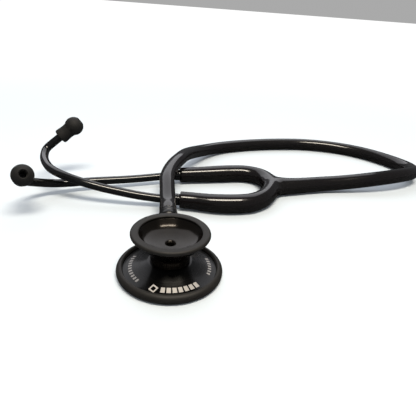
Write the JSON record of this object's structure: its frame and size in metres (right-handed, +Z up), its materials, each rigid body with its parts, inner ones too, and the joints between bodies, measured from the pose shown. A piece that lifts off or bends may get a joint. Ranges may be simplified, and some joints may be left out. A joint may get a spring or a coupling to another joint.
{
  "type": "stethoscope",
  "caption": "Black double-head stethoscope lying on a table: turning chestpiece, looped tubing, sprung yoke, curved ear tubes with soft ear tips.",
  "frame": {"origin": "centre of the diaphragm's working face, on the table", "axes": "+Z up, out of the bell; +Y along the valve stem, away from the chestpiece"},
  "size_m": [0.2773, 0.2116, 0.0397],
  "materials": {
    "anodised_aluminium": "satin black anodised, turned",
    "rim_rubber": "matte moulded",
    "diaphragm_film": "fine-textured epoxy film",
    "bright_steel": "bright",
    "black_steel": "gloss black",
    "seal_rubber": "matte",
    "tubing_vinyl": "gloss black vinyl",
    "tip_rubber": "soft matte"
  },
  "bodies": {
    "tubing": {"main_tube": "tubing_vinyl", "yoke": "tubing_vinyl", "yoke_spring": "bright_steel", "valve_stem": "anodised_aluminium", "stem_o_ring": "seal_rubber"},
    "chestpiece": {"bell_body": "anodised_aluminium", "bell_rim": "rim_rubber", "diaphragm_cone": "anodised_aluminium", "diaphragm_ring": "rim_rubber", "diaphragm": "diaphragm_film", "detent_ball": "bright_steel", "detent_spring": "bright_steel", "detent_grub_screw": "black_steel"},
    "left_arm": {"left_yoke_arm": "tubing_vinyl"},
    "right_arm": {"right_yoke_arm": "tubing_vinyl"},
    "left_ear": {"left_ear_tube": "black_steel", "left_ear_collar": "black_steel", "left_tip_screw": "black_steel"},
    "right_ear": {"right_ear_tube": "black_steel", "right_ear_collar": "black_steel", "right_tip_screw": "black_steel"},
    "left_tip": {"left_ear_tip": "tip_rubber"},
    "right_tip": {"right_ear_tip": "tip_rubber"}
  },
  "joints": [
    {"name": "chestpiece_turn", "type": "hinge", "parent": "tubing", "child": "chestpiece", "pos_m": [0, 0, 0.0102], "axis": [0, 1, 0], "continuous": true},
    {"name": "left_arm_spread", "type": "hinge", "parent": "tubing", "child": "left_arm", "pos_m": [0.05, 0.0615, 0.0057], "axis": [0, 0, 1], "range_deg": [0, 3], "stiffness_Nm_per_rad": 0.8},
    {"name": "right_arm_spread", "type": "hinge", "parent": "tubing", "child": "right_arm", "pos_m": [0.055, 0.1081, 0.0057], "axis": [0, 0, -1], "range_deg": [0, 8], "stiffness_Nm_per_rad": 0.8},
    {"name": "left_ear_turn", "type": "hinge", "parent": "left_arm", "child": "left_ear", "pos_m": [0.0077, 0.0643, 0.0057], "axis": [0.9839, -0.1789, 0], "range_deg": [-4, 10]},
    {"name": "right_ear_turn", "type": "hinge", "parent": "right_arm", "child": "right_ear", "pos_m": [0.0096, 0.1029, 0.0057], "axis": [-0.9902, -0.1399, 0], "range_deg": [-15, 5]},
    {"name": "left_tip_spin", "type": "hinge", "parent": "left_ear", "child": "left_tip", "pos_m": [-0.0684, 0.1112, 0.027], "axis": [0.7681, 0.1995, 0.6085], "continuous": true},
    {"name": "right_tip_spin", "type": "hinge", "parent": "right_ear", "child": "right_tip", "pos_m": [-0.0792, 0.0606, 0.0191], "axis": [0.3472, -0.8006, 0.4884], "continuous": true}
  ]
}
